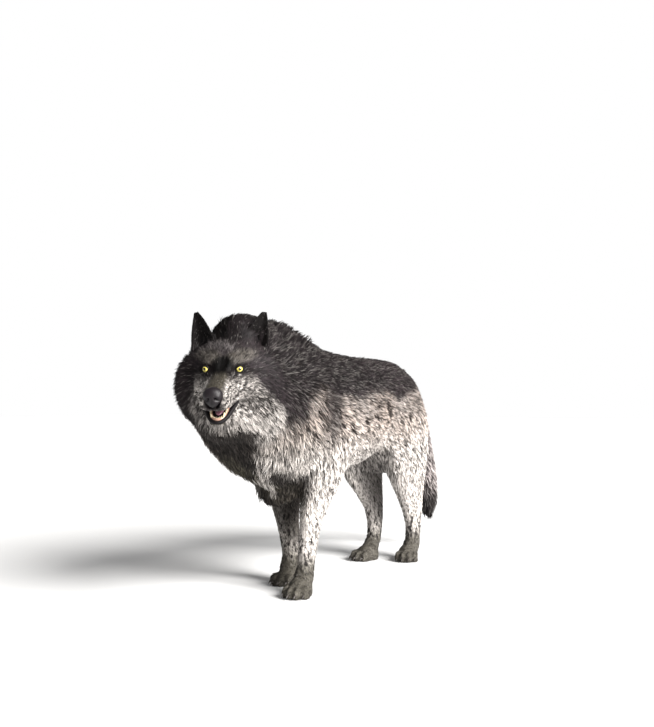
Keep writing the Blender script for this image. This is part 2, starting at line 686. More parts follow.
def head_markings(points, tone, rough, fine):
    """Dark crown and ruff, grizzled brows, olive bridge, pale speckled cheeks and black eye lines."""
    across, back, up = in_head(points).T
    wide = np.abs(across)

    # ground colours: crown, cheeks, chin and the ruff behind them
    face = np.tile(tone["charcoal"] * 0.95, (len(points), 1))
    grizzled = ease(up, 0.020, 0.060) * ease(up, 0.125, 0.075)
    face = mixed(face, tone["grizzle"], grizzled * (0.40 + 0.28 * fine))
    face = mixed(face, tone["umber"] * 0.28, ease(up, 0.066, 0.096) * 0.92)
    cheek = ease(up, 0.000 - 0.06 * (wide - 0.03), -0.036 - 0.10 * (wide - 0.03)) * ease(wide, 0.015, 0.035)
    face = mixed(face, tone["cream"] * (0.50 - 0.08 * ease(up[:, None], -0.05, -0.10)), cheek * 0.80)
    face = mixed(face, tone["cream"] * 0.70, ease(up, -0.095, -0.130) * 0.92)
    shaded_end = np.interp(up, SHADED_CHEEK_HEIGHTS, SHADED_CHEEK_ENDS)
    cheek_end = np.where(across < 0, shaded_end, 0.094 - 0.68 * (up + 0.03)) + 0.006 * rough
    ruff = tone["charcoal"] * (1.0 - 0.4 * ease(across[:, None], 0.0, -0.1))
    face = mixed(face, ruff, ease(wide, cheek_end - 0.012, cheek_end + 0.012))
    face = mixed(face, tone["umber"], ease(up, -0.176, -0.196) * ease(wide, 0.092, 0.070) * 0.95)

    # bridge, brows and the patch between them
    bridge = ease(wide, 0.034, 0.016) * ease(up, -0.075, -0.055) * ease(up, 0.010, -0.006)
    face = mixed(face, tone["olive"], bridge * 0.85)
    brow = spot(wide, up - 0.10 * wide, 0.046, 0.031, 0.040, 0.019, 1.2)
    face = mixed(face, tone["grizzle"] * 0.66, brow * (0.60 + 0.25 * fine))
    face = mixed(face, tone["olive"] * 1.6, brow * 0.45)
    lower_lid = spot(wide, up, 0.058, -0.022, 0.026, 0.013, 1.0)
    face = mixed(face, tone["umber"] * 1.3, lower_lid * 0.55)
    patch = spot(across, up, 0.0, 0.015, 0.032, 0.025, 1.6)
    patch = patch * ease(fine + ripple(points, 0.006, 15), -1.3, -0.7)
    face = mixed(face, tone["umber"] * 0.05, patch)

    # black round the eyes: the line past the outer corner, the rim and the tear mark
    eye_line = -0.004 - 0.10 * (wide - 0.060)
    line = ease(np.abs(up - eye_line), 0.0085, 0.0045) * ease(wide, 0.052, 0.060) * ease(wide, 0.125, 0.100)
    face = mixed(face, tone["soot"], line * 0.85)
    raised = up - 0.14 * (wide - EYE_HALF_APART)
    rim = spot(wide, raised, EYE_HALF_APART, -0.0010, 0.0285, 0.0190, 3.0)
    face = mixed(face, tone["soot"] * 0.6, rim * ease(back, 0.04, 0.02))
    tear = spot(wide, up + 0.45 * (wide - 0.026), 0.026, -0.0080, 0.0105, 0.0060, 2.0)
    face = mixed(face, tone["soot"] * 0.6, tear * ease(back, 0.02, 0.0))

    # chin and cheeks: speckles, squiggles and dark splits between the locks
    chin = ease(back, -0.010, -0.035) * ease(up, -0.100, -0.112) * ease(wide, 0.072, 0.050)
    face = mixed(face, tone["stone"] * 1.05, chin * 0.95)
    speckle = cheek * ease(up, -0.165, -0.120) * ease(wide, cheek_end + 0.008, cheek_end - 0.014)
    squiggle = ripple(points, *CHEEK_SQUIGGLE)
    face = mixed(face, tone["soot"] * 0.8, speckle * ease(squiggle, 0.08, 0.24) * 0.95)
    face = mixed(face, tone["cream"] * 0.85, speckle * ease(squiggle, -0.25, -0.55) * 0.85)
    splits = ripple(np.stack([across, back * 0.7, up * 0.20], 1), *CHIN_SPLIT)
    face = mixed(face, tone["umber"], ease(up, -0.105, -0.135) * ease(splits, 0.22, 0.40) * 0.95)
    shaded_jowl = ease(-across, 0.036, 0.070) * ease(up, -0.06, -0.11)
    face = mixed(face, tone["charcoal"], shaded_jowl * (0.42 + 0.38 * fine))
    shaded_muzzle = ease(-across, 0.015, 0.040) * ease(up, -0.015, -0.040) * ease(up, -0.120, -0.090)
    face = face * column(1.0 + 0.45 * shaded_muzzle)
    face_dark = 0.10 + 0.28 * speckle + 0.10 * ease(up, 0.02, 0.06)
    return face, face_dark, (0.05 + 0.25 * speckle) * (1.0 - patch)


TOE_FAN = 0.035  # from the middle of a paw forwards to the point from which its toes spread


def toe_gaps(points):
    """Dark lines between the toes, half way between the claws."""
    dark = np.zeros(len(points))
    for leg in LEGS:
        centre = middle(f"paw_{leg}")
        near = (np.abs(points[:, :2] - np.array(centre)[:2]).max(1) < 0.09) & (points[:, 2] < 0.075)
        if not near.any():
            continue
        claws = [middle(f"claw_{leg}_{toe}") - centre for toe in TOES]
        ahead = sum(claws, Vector()) / len(claws)
        turn = math.atan2(ahead.x, -ahead.y)
        angles = sorted(math.atan2(claw.x, -claw.y) - turn for claw in claws)
        heel = TOE_FAN * np.array((math.sin(turn), -math.cos(turn), 0.0))
        off = points[near] - np.array(centre) - heel
        own = np.arctan2(off[:, 0], -off[:, 1]) - turn
        out = np.linalg.norm(off[:, :2], axis=1)
        for first, second in zip(angles, angles[1:]):
            line = np.abs(own - (first + second) / 2 * 0.62) * out
            dark[near] = np.maximum(dark[near], ease(line, 0.0042, 0.0018) * ease(out, 0.030, 0.045))
    return dark


def ear_markings(points, colours):
    """Near-black ears, a little paler at their roots."""
    soot, charcoal = np.array(colours.soot), np.array(colours.charcoal)
    up = in_head(points)[:, 2]
    return soot * 0.5 + (charcoal * 0.5 - soot * 0.5) * column(ease(up, 0.085, 0.050) * 0.35)


# ---------------------------------------------------------------- the skin
SKIN_GRAIN = 0.0026
BODY_THINNING = 0.082  # share of the body's faces that is kept where the coat is long
SKIN_SWELL = 0.0004  # how far the solids' copies are swollen, so that they close over the cuts
FACE_BACK, FACE_LOW, PAW_HEIGHT = 0.06, 0.45, 0.075  # bounds of the face and the paws, which are left fine
EAR_MARGIN, EAR_ROOT = 0.004, 0.02


def flesh_copy():
    """All the solids of flesh as one closed mesh."""
    copies = []
    for name in PARTS:
        copy = frame["nodes"][name].copy()
        copy.data = copy.data.copy()
        copy.parent = None
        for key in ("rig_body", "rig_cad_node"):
            if key in copy:
                del copy[key]
        bpy.context.scene.collection.objects.link(copy)
        copies.append(copy)
    for side in (-1.0, 1.0):
        path = [(side * row[0], *row[1:]) for row in FLEW]
        copies.append(tube("flew", path, FLEW_RADII, HEAD, resolution=3))
    skin = joined("skin", copies)
    with editing(skin):
        bpy.ops.mesh.remove_doubles(threshold=0.00001)
        bpy.ops.transform.shrink_fatten(value=SKIN_SWELL)
    apply_modifier(skin, "REMESH", mode="VOXEL", voxel_size=SKIN_GRAIN)
    return skin


def apply_modifier(piece, kind, **settings):
    only(piece)
    modifier = piece.modifiers.new(kind.lower(), kind)
    for key, value in settings.items():
        setattr(modifier, key, value)
    bpy.ops.object.modifier_apply(modifier=modifier.name)


def thin_body(skin):
    """Thins the skin everywhere but on the face, the ears and the paws."""
    middles = rows_of(skin.data.polygons, "center", 3).astype(float)
    face = (in_head(middles)[:, 1] < FACE_BACK) & (middles[:, 2] > FACE_LOW)
    paws = middles[:, 2] < PAW_HEIGHT
    skin.data.polygons.foreach_set("select", ~(face | near_ears(middles) | paws))
    only(skin)
    bpy.ops.object.mode_set(mode="EDIT")
    bpy.ops.mesh.select_mode(type="FACE")
    bpy.ops.mesh.decimate(ratio=BODY_THINNING)
    bpy.ops.mesh.select_all(action="SELECT")
    bpy.ops.mesh.quads_convert_to_tris(quad_method="SHORTEST_DIAGONAL")
    bpy.ops.object.mode_set(mode="OBJECT")


def near_ears(points):
    near = np.zeros(len(points), bool)
    for _, label in SIDES:
        low, high = (np.array(corner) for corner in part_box(f"ear_{label}"))
        low[2] += EAR_ROOT
        near |= ((points > low - EAR_MARGIN) & (points < high + EAR_MARGIN)).all(axis=1)
    return near


def nearest_parts(points):
    """For each point, the index in PARTS of the solid it lies on."""
    spots, faces, owners = [], [], []
    for index, name in enumerate(PARTS):
        mesh = frame["nodes"][name].data
        triangles = corners(mesh) + len(spots)
        spots += [tuple(place) for place in places(mesh)]
        faces += triangles.tolist()
        owners += [index] * len(triangles)
    tree = BVHTree.FromPolygons(spots, faces)
    return np.array([owners[tree.find_nearest(Vector(point))[2]] for point in points])


def of_kind(part, *kinds):
    """Which points lie on parts of these kinds, such as leg or ear."""
    return np.isin(part, [index for index, name in enumerate(PARTS) if name.split("_")[0] in kinds])


def neighbour_sum(row, edges):
    """For each vertex, the sum of a field over the vertices that share an edge with it."""
    total = np.bincount(edges[:, 0], row[edges[:, 1]], len(row))
    return total + np.bincount(edges[:, 1], row[edges[:, 0]], len(row))


def spread(values, edges, passes):
    """Evens a field out over the skin, each pass halfway to the mean of a vertex's neighbours."""
    values = np.array(values, float)
    flat = values.reshape(len(values), -1)
    count = np.bincount(edges.ravel(), minlength=len(flat)).clip(1)
    for _ in range(passes):
        for axis in range(flat.shape[1]):
            row = flat[:, axis]
            flat[:, axis] = (row + neighbour_sum(row, edges) / count) / 2
    return flat.reshape(values.shape)


# Length, width and lift in degrees of the tufts of each part of the body; the head's are worked out below.
TUFTS = {
    "neck": (0.048, 0.0034, 24.0),
    "trunk": (0.031, 0.0031, 20.0),
    "tail": (0.048, 0.0040, 24.0),
    "leg": (0.020, 0.0026, 18.0),
    "paw": (0.0085, 0.0020, 15.0),
    "ear": (0.0068, 0.0017, 9.0),
    "jaw": (0.011, 0.0020, 17.0),
    "head": (0.0, 0.0, 0.0),
}
DEPTH_SHARE = 0.60  # height of a tuft's tip over the skin, against its length times the sine of its lift
HAIR_START = np.array((0.0, -0.185, -0.035))  # ahead of the nose: the head's hair runs back from here


def hair_fields(points, part):
    """Length, width, lift and lie of the tufts at each point of the skin."""
    table = np.array([TUFTS[name.split("_")[0]] for name in PARTS])
    length, width, lift = table[part].T.copy()
    _, y, z = points.T
    across, back, up = in_head(points).T
    wide = np.abs(across)

    # head: close on the muzzle, longer over brow and cheek, a mane at the ruff
    head = of_kind(part, "head")
    out = np.maximum(ease(back, -0.010, 0.085), ease(wide, 0.065, 0.115) * ease(back, -0.01, 0.02))
    out = np.maximum(out, ease(up, -0.115, -0.150))
    face_length = 0.0080 + 0.007 * ease(back, -0.10, 0.0) + 0.022 * out**1.3
    length = np.where(head, face_length, length)
    width = np.where(head, 0.0017 + 0.0013 * out, width)
    lift = np.where(head, 15.0 + 6.0 * out, lift)

    # legs: longer where they leave the trunk
    leg = of_kind(part, "leg")
    upper = ease(z, 0.16, 0.42)
    length = np.where(leg, 0.012 + 0.016 * upper, length)
    width = np.where(leg, 0.0023 + 0.0008 * upper, width)
    lift = np.where(leg, 17.0 + 3.0 * upper, lift)

    # crest of the mane, from the withers to the ears
    crest = ease(z, 0.76, 0.82) * ease(-y, 0.16, 0.30) * ease(back, 0.07, 0.12)
    lift = lift + 2.0 * crest
    crown = ease(up, 0.075, 0.115) * ease(back, 0.0, 0.05) * ease(-y, 0.40, 0.46)
    length = length * (1.0 - 0.42 * crown)
    lift = lift - 7.0 * crown
    before_ear = spot(wide, up, 0.088, 0.085, 0.042, 0.050, 1.2) * ease(back, 0.100, 0.080)
    length = length * (1.0 - 0.55 * before_ear)

    return length, width, lift, hair_lie(points, part)


def headings(x, y, z):
    """Rows of directions from three parts, each a number or one value for each row."""
    return np.stack(np.broadcast_arrays(x, y, z), 1).astype(float)


def hair_lie(points, part):
    """Which way the hair lies: down and back on the body, down the legs, and back from the nose."""
    x, y, z = points.T
    across, back, up = in_head(points).T
    low_neck = ease(z, 0.55, 0.45)
    shoulder = ease(-y, 0.10, 0.30) * ease(z, 0.62, 0.45)
    fall = -0.50 - 0.35 * ease(z, 0.55, 0.40) + 0.55 * ease(z, 0.70, 0.79) - 0.9 * shoulder
    lies = {
        "trunk": headings(0.0 * x, 1.0, fall),
        "neck": headings(
            0.25 * (x - HEAD_PLACE[0] * 0.5) / 0.15,
            1.0 - 0.7 * low_neck,
            -1.3 + 2.0 * ease(z, 0.52, 0.82) - 1.6 * low_neck,
        ),
        "leg": headings(0.0 * x, 0.20, -1.0),
        "tail": headings(0.0 * x, 0.32 + 0.5 * ease(z, 0.55, 0.63), -1.0),
    }
    lie = np.zeros_like(points)
    for index, name in enumerate(PARTS):
        kind = name.split("_")[0]
        held = part == index
        if kind in lies:
            lie[held] = lies[kind][held]
        elif kind == "paw":
            lie[held] = points[held] - (np.array(middle(name)) + (0, 0.02, 0.03))
            lie[held, 2] -= 0.03
        elif kind == "ear":
            lie[held] = HEAD_TURN @ np.array([0.0, 0.25, 1.0])
    radiate = unit(in_head(points) - HAIR_START)
    hang = 0.9 * ease(up, -0.075, -0.130) * (0.25 + 0.75 * ease(back, -0.045, 0.0))
    radiate[:, 2] += 0.35 * ease(up, 0.0, 0.06) - hang - 0.45 * ease(np.abs(across), 0.07, 0.12)
    radiate[:, 0] *= 0.8
    jaw_back = headings(0.3 * np.sign(across), 0.6, -0.9)
    for kind, own in (("head", radiate), ("jaw", jaw_back)):
        held = of_kind(part, kind)
        lie[held] = own[held] @ HEAD_TURN.T
    return unit(lie)


NOSE_PLACE = in_head(np.array(middle("nose"))[None])[0]
BARE_NOSE = (0.0275, 0.024, 0.0265)  # half sizes of the bare oval round the nose
BARE_EYE, BARE_EYE_DEPTH = 0.0138, 0.03  # and of the one round each eye, which reaches further down than up
BARE_ABOVE, BARE_BELOW = 0.0080, 0.0122
MOUTH_ROOF, MOUTH_FLOOR = -0.066, -0.118  # skin of the mouth is below the one and above the other


def bare_skin(points, normals, part):
    """1 where no hair grows: on the nose, between the lids, on the lips and inside the mouth."""
    local = in_head(points)
    bare = np.linalg.norm((local - NOSE_PLACE) / BARE_NOSE, axis=1) < 1.0
    for side, _ in SIDES:
        off_eye = local - (EYE_HALF_APART * side, -0.008, 0.0)
        off_eye[:, 2] /= np.where(off_eye[:, 2] > 0, BARE_ABOVE, BARE_BELOW)
        bare |= np.linalg.norm(off_eye / (BARE_EYE, BARE_EYE_DEPTH, 1.0), axis=1) < 1.0
    folded_over = local.copy()
    folded_over[:, 0] = np.abs(local[:, 0])
    bare |= np.linalg.norm((folded_over - WEB) / WEB_HALF, axis=1) < 1.0
    roof = of_kind(part, "head") & within_lips(local, UPPER_LIP) & (local[:, 2] < MOUTH_ROOF)
    roof &= (normals @ HEAD_TURN)[:, 2] < 0.15
    local = into(JAW, points)
    floor = of_kind(part, "jaw") & within_lips(local, LOWER_LIP) & (local[:, 2] > MOUTH_FLOOR)
    floor &= (normals @ np.array(JAW.to_3x3()))[:, 2] > -0.15
    return (bare | roof | floor).astype(float)


def within_lips(local, lip):
    """Whether points lie between the left and the right half of a lip."""
    rows = np.array(lip)[::-1]
    half = np.interp(local[:, 1], rows[:, 1], rows[:, 0], left=0.0, right=0.0)
    return np.abs(local[:, 0]) < half


def shape_skin(skin):
    """Smooths the skin, draws it in by the coat's depth, and keeps the fields of the hair on it."""
    mesh = skin.data
    edges = rows_of(mesh.edges, "vertices", 2, np.int32)
    points = places(mesh)
    part = nearest_parts(points)
    legs = of_kind(part, "leg")
    loose = spread(np.where(of_kind(part, "head", "jaw", "paw", "ear"), 0.30, 1.0), edges, 12)
    loose = np.where(legs, np.minimum(loose, 0.55), loose)
    loose = np.where(of_kind(part, "paw"), 0.10, loose)
    points = relaxed(points, edges, loose, 26)
    length, width, lift, lie = hair_fields(points, part)
    length, width, lift = spread(np.stack([length, width, lift], 1), edges, 14).T
    put(mesh, points)
    depth = DEPTH_SHARE * length * np.sin(np.radians(lift)) + 0.0006
    depth = np.where(legs, depth * 0.60, depth)
    depth = np.where(of_kind(part, "ear"), np.minimum(depth, 0.0018), depth)
    x, y, z = points.T
    depth = np.where(z < 0.012, depth * ease(z, -0.004, 0.012), depth)
    breast_hollow = spot(x, z, -0.070, 0.335, 0.050, 0.055, 1.0)
    depth = depth + 0.020 * breast_hollow * ease(-y, 0.30, 0.36)
    normals = facings(mesh)
    points = folded(points - normals * column(depth), normals, part)
    points = relaxed(points, edges, loose * 0.6, 6)
    points[:, 2] = np.maximum(points[:, 2], 0.0002)
    put(mesh, points)
    normals = facings(mesh)
    lie = spread(lie, edges, 16)
    lie = unit(lie - normals * column((lie * normals).sum(1)))
    keep_attribute(mesh, "hair_length", "FLOAT", length)
    keep_attribute(mesh, "hair_width", "FLOAT", width)
    keep_attribute(mesh, "hair_lift", "FLOAT", lift)
    keep_attribute(mesh, "hair_lie", "FLOAT_VECTOR", lie)
    keep_attribute(mesh, "part", "INT", part)
    keep_attribute(mesh, "bare", "FLOAT", bare_skin(points, normals, part))


LIP_DROP = 0.011  # how far the lips hang below the solids' cut, and the floor of the mouth with them


def folded(points, normals, part):
    """Gives the face its brows, sockets and bulging muzzle, and lowers the lips."""
    across, back, up = in_head(points).T
    wide = np.abs(across)
    head = of_kind(part, "head")
    front = ease(back, 0.055, 0.025) * head
    rise = 0.0040 * spot(wide, up, 0.046, 0.025, 0.026, 0.011, 1.0)
    rise -= 0.0030 * spot(across, up, 0.0, 0.014, 0.012, 0.030, 1.0)
    rise -= 0.0035 * spot(wide, up, 0.026, -0.010, 0.011, 0.014, 1.0)
    rise -= 0.0020 * spot(wide, up, 0.052, -0.024, 0.024, 0.008, 1.0)
    rise += 0.0025 * spot(wide, up, 0.034, -0.068, 0.016, 0.014, 1.0) * ease(-back, 0.085, 0.105)
    points = points + normals * column(rise * front)
    local = in_head(points)
    drop = LIP_DROP * ease(-local[:, 1], 0.050, 0.105) * ease(local[:, 2], -0.060, -0.084)
    local[:, 2] -= drop * head
    points = out_of(HEAD, local)
    local = into(JAW, points)
    drop = LIP_DROP * ease(-local[:, 1], 0.046, 0.092) * ease(local[:, 2], -0.124, -0.100)
    local[:, 2] -= drop * of_kind(part, "jaw")
    return out_of(JAW, local)


def relaxed(points, edges, share, passes):
    """Moves each point part of the way to the mean of its neighbours, again and again."""
    count = np.bincount(edges.ravel(), minlength=len(points)).clip(1)
    for _ in range(passes):
        total = np.stack([neighbour_sum(row, edges) for row in points.T], 1)
        points = points + (total / column(count) - points) * column(0.5 * share)
    return points


BARE_SKIN = np.array((0.022, 0.014, 0.015))


def paint_skin(skin, colours):
    """Colours the skin by the markings, darker under long hair and near black where it is bare."""
    mesh = skin.data
    points = places(mesh)
    part = read_attribute(mesh, "part")
    rgb, _, _ = wolf_markings(points, colours)
    ears = of_kind(part, "ear")
    rgb[ears] = ear_markings(points[ears], colours)
    length = read_attribute(mesh, "hair_length").astype(float)
    rgb = rgb * column(0.80 - 0.38 * ease(length, 0.014, 0.032))
    rgb = mixed(rgb, BARE_SKIN, read_attribute(mesh, "bare").astype(float))
    keep_attribute(mesh, "pelt", "FLOAT_COLOR", colour_rows(rgb))


class WOLF_OT_skin(bpy.types.Operator):
    """Make the one skin that stands for all the solids of flesh"""

    bl_idname = "wolf.skin"
    bl_label = "Skin"

    def execute(self, context):
        skin = flesh_copy()
        thin_body(skin)
        shape_skin(skin)
        paint_skin(skin, context.scene.wolf_colours)
        finished(skin, bpy.data.materials["skin"], "coat_grey", *PARTS)
        return {"FINISHED"}


# ---------------------------------------------------------------- the coat
TRIM = 0.88  # how much of its length a tuft keeps, so that the tips end at the solids' surface
RING_SHARES = {2: (0.0, 0.5), 3: (0.0, 0.34, 0.70)}
RING_WIDTHS = {2: (0.85, 0.80), 3: (0.80, 1.0, 0.62)}
HACKLE_LENGTH = 1.35  # length of the hackles against that of the mane they stand in
HACKLE_WIDTH = 0.9
HACKLE_LIFT = math.radians(18.0)
CROWN_LOCKS, CROWN_LIFT = 0.75, 18.0  # how much longer and steeper some locks between the ears are
CREST_TRIM, CREST_DROP = 0.28, 6.0  # how much shorter and flatter the tufts of the crest are
LENGTH_SPREAD, WIDTH_SPREAD, LIFT_SPREAD = (0.62, 1.12), (0.70, 1.35), (0.65, 1.30)
SWAY = 0.22  # how far whole patches of hair turn from their lie
ARCH = 0.16  # height of a tuft's arch, against its length and lift
FULL_LIFT_SHARE = 0.62  # the depth share at which a tip would stand at its full lift
RAGGED = 0.10  # how far a tuft's colour strays from its place, against its length
PATCH = 0.003  # size of a tuft on its map


def grow(context, name, part_names, count, rings, side=0, keep=None, weight=None):
    """Grows `count` tufts on some parts of the skin, as one piece of mesh."""
    coat = context.scene.wolf_coat
    skin = bpy.data.objects["skin"].data
    draw = np.random.default_rng(coat.seed + sum(map(ord, name)))
    points, normals, faces = places(skin), facings(skin), corners(skin)
    fields = {key: read_attribute(skin, f"hair_{key}").astype(float) for key in ("length", "width", "lift")}
    lie = read_attribute(skin, "hair_lie", 3).astype(float)
    part = read_attribute(skin, "part")
    bare = read_attribute(skin, "bare")
    wanted = np.isin(part, [PARTS.index(part_name) for part_name in part_names])[faces].sum(1) >= 2
    wanted &= bare[faces].sum(1) < 1
    centres = points[faces].mean(1)
    if side:
        wanted &= (centres[:, 0] - middle("trunk").x) * side > 0
    if keep is not None:
        wanted &= keep(centres)
    faces = faces[wanted]
    one, two, three = points[faces].transpose(1, 0, 2)
    area = np.linalg.norm(np.cross(two - one, three - one), axis=1)
    if weight is not None:
        area = area * weight(centres[wanted])
    share = np.cumsum(area) / area.sum()
    count = int(count * coat.fullness)
    steps = (np.arange(count) + draw.uniform(0, 1, count)) / count
    picked = np.searchsorted(share, steps).clip(0, len(faces) - 1)
    draw_one, draw_two = draw.uniform(0, 1, (2, count))
    root = np.sqrt(draw_one)
    mix = np.stack([1 - root, root * (1 - draw_two), root * draw_two], 1)

    def at(values):
        return np.einsum("nk,nk...->n...", mix, values[faces[picked]])

    roots, normal = at(points), unit(at(normals))
    length = at(fields["length"]) * draw.uniform(*LENGTH_SPREAD, count)
    length = length * (1.0 + 0.16 * ripple(roots, 0.05, 21))
    crown = ease(in_head(roots)[:, 2], 0.080, 0.110) * ease(ripple(roots, 0.011, 23), 0.30, 0.75)
    crown = crown * (name == "coat_ruff")
    crest = ease(roots[:, 2], 0.775, 0.825) * ease(np.abs(roots[:, 1] + 0.32), 0.17, 0.12)
    crest = crest * (part_names[0] == "neck")
    length = length * (1.0 + CROWN_LOCKS * crown - CREST_TRIM * crest)
    width = at(fields["width"]) * draw.uniform(*WIDTH_SPREAD, count)
    lift = at(fields["lift"]) + CROWN_LIFT * crown - CREST_DROP * crest
    lift = np.radians(lift * draw.uniform(*LIFT_SPREAD, count))
    sway = np.stack([ripple(roots, 0.045, 31 + axis) for axis in range(3)], 1)
    wild = draw.normal(size=(count, 3))
    ahead = at(lie) + sway * SWAY + wild * coat.unruly
    ahead = unit(ahead - normal * column((ahead * normal).sum(1)))
    if name == "coat_hackles":
        length, width, lift = length * HACKLE_LENGTH, width * HACKLE_WIDTH, lift + HACKLE_LIFT
    tip = ahead * column(np.cos(lift)) + normal * column(np.sin(lift) * DEPTH_SHARE / FULL_LIFT_SHARE)
    tip, gap = gathered(roots, tip * column(length * TRIM), length, coat.clumping, draw)
    rise = normal * column(np.sin(lift) * length * ARCH)
    ends = roots + tip * 0.75 + draw.normal(size=(count, 3)) * column(length * RAGGED)
    colours = context.scene.wolf_colours
    rgb, dark_share, pale_share = wolf_markings(ends, colours)
    if part_names[0].startswith("ear"):
        rgb, dark_share, pale_share = ear_markings(ends, colours), 0.1, 0.05
    bow = np.cross(tip, normal) * column(coat.curl * draw.normal(size=count))
    rgb = rgb * column(1.0 - coat.parting * gap * ease(length, 0.010, 0.026))
    rgb, ends_rgb = ticked(rgb, dark_share, pale_share, colours, draw, count)
    mesh = tuft_mesh(name, roots, normal, tip, rise + bow, width, rgb, ends_rgb, rings, draw)
    lay_map(mesh, roots, normal, part_names, rings)
    piece = bpy.data.objects.new(name, mesh)
    context.scene.collection.objects.link(piece)
    return piece


TUFTS_PER_LOCK = 9


def gathered(roots, tip, length, clumping, draw):
    """Bends the tufts' tips towards those of chosen tufts nearby, to make locks with gaps between."""
    leaders = draw.choice(len(roots), max(len(roots) // TUFTS_PER_LOCK, 1), replace=False)
    tree = KDTree(len(leaders))
    for index in leaders:
        tree.insert(roots[index], int(index))
    tree.balance()
    chosen = np.array([tree.find(root)[1] for root in roots])
    goal = roots[chosen] + tip[chosen] - roots
    off = np.linalg.norm(roots[chosen] - roots, axis=1)
    pull = clumping * draw.uniform(0.3, 1.3, len(roots)) * (off < length * 0.5)
    bent = mixed(tip, goal, pull)
    gap = ease(off / np.median(off), 1.0, 1.9)
    return unit(bent) * column(np.linalg.norm(tip, axis=1)), gap


def ticked(rgb, dark_share, pale_share, colours, draw, count):
    """Colours of the tufts at root and tip: some tips are dark, and some whole tufts pale."""
    chance = draw.uniform(0, 1, count)
    dark = chance < dark_share
    pale = chance > 1.0 - pale_share
    soot, cream = np.array(colours.soot), np.array(colours.cream)
    lightness = rgb.mean(1, keepdims=True)
    paler = mixed(rgb, cream * np.clip(0.13 + 1.3 * lightness, 0, 1), draw.uniform(0.25, 0.80, count))
    rgb = np.where(column(pale), paler, rgb)
    rgb = rgb * column(draw.uniform(0.45, 1.45, count))
    depth = column(draw.uniform(0.70, 1.0, count))
    tips = np.where(column(dark), rgb + (soot - rgb) * depth, rgb)
    rgb = np.where(column(dark), rgb + (soot - rgb) * depth * 0.45, rgb)
    return rgb, tips


TIP_GLEAM = 1.05  # how much lighter a tip is than its own colour


def tuft_mesh(name, roots, normal, tip, rise, width, rgb, tip_rgb, rings, draw):
    """One mesh of three-sided tapering tufts, each bent from its lift at the root to the lie of the coat."""
    count = len(roots)
    deep = column(0.72 - 0.40 * ease(np.linalg.norm(tip, axis=1), 0.012, 0.040))
    side = unit(np.cross(tip, normal))
    over = unit(np.cross(side, tip))
    over = np.where(column((over * normal).sum(1)) < 0, -over, over)
    lean = column(draw.uniform(-0.5, 0.5, count))
    side = unit(side + over * lean)
    spots, facing, shade = [], [], []
    for share, wide in zip(RING_SHARES[rings], RING_WIDTHS[rings]):
        centre = roots + tip * share + rise * (4.0 * share * (1.0 - share))
        half = column(width * wide * 0.5)
        for push, lift in ((-1.0, -0.25), (1.0, -0.25), (0.0, 0.55)):
            spots.append(centre + side * half * push + over * half * lift)
            facing.append(unit(side * push * 0.40 + over * (0.30 + 0.6 * lift) + normal * 0.90))
            blend = rgb + (tip_rgb - rgb) * ease(np.float64(share), 0.1, 0.6)
            shade.append((deep + (TIP_GLEAM - deep) * share) * blend)
    spots.append(roots + tip)
    facing.append(unit(over * 0.3 + normal * 0.9))
    shade.append(TIP_GLEAM * tip_rgb)
    per = rings * 3 + 1
    spots, facing = np.stack(spots, 1), np.stack(facing, 1)
    tint_rows = np.stack(shade, 1)
    faces = [(0, 1, 2)]
    for ring in range(rings - 1):
        low = ring * 3
        for first, second in ((0, 1), (1, 2), (2, 0)):
            faces.append((low + first, low + 3 + first, low + 3 + second))
            faces.append((low + first, low + 3 + second, low + second))
    low = (rings - 1) * 3
    faces += [(low + first, per - 1, low + second) for first, second in ((0, 1), (1, 2), (2, 0))]
    turned = np.einsum("ij,ij->i", np.cross(spots[:, 1] - spots[:, 0], spots[:, 2] - spots[:, 0]), tip) > 0
    faces = np.array(faces)[None]
    first_spot = np.arange(count)[:, None, None] * per
    whole = np.where(turned[:, None, None], faces[:, :, ::-1], faces) + first_spot
    mesh = bpy.data.meshes.new(name)
    mesh.vertices.add(count * per)
    mesh.vertices.foreach_set("co", spots.astype(np.float32).ravel())
    number = whole.shape[0] * whole.shape[1]
    mesh.loops.add(number * 3)
    mesh.loops.foreach_set("vertex_index", whole.astype(np.int32).ravel())
    mesh.polygons.add(number)
    mesh.polygons.foreach_set("loop_start", np.arange(number, dtype=np.int32) * 3)
    mesh.update(calc_edges=True)
    mesh.shade_smooth()
    keep_attribute(mesh, "pelt", "FLOAT_COLOR", colour_rows(np.clip(tint_rows.reshape(-1, 3), 0, 1)))
    mesh.normals_split_custom_set_from_vertices(facing.reshape(-1, 3).astype(np.float32))
    return mesh


def lay_map(mesh, roots, normal, part_names, rings):
    """The map OFBake: each tuft is a small patch at its root's place on an unwrap of the skin's shape."""
    unwrapped = unwrap(roots, normal, part_names)
    steps = [(push, share) for share in RING_SHARES[rings] for push in (-0.5, 0.5, 0.0)] + [(0.0, 1.0)]
    offset = np.array([(push, share - 0.5) for push, share in steps]) * PATCH
    uv = unwrapped[:, None, :] + offset[None]
    corner = rows_of(mesh.loops, "vertex_index", 1, np.int32)
    layer = mesh.uv_layers.new(name="OFBake")
    layer.uv.foreach_set("vector", uv.reshape(-1, 2)[corner].astype(np.float32).ravel())


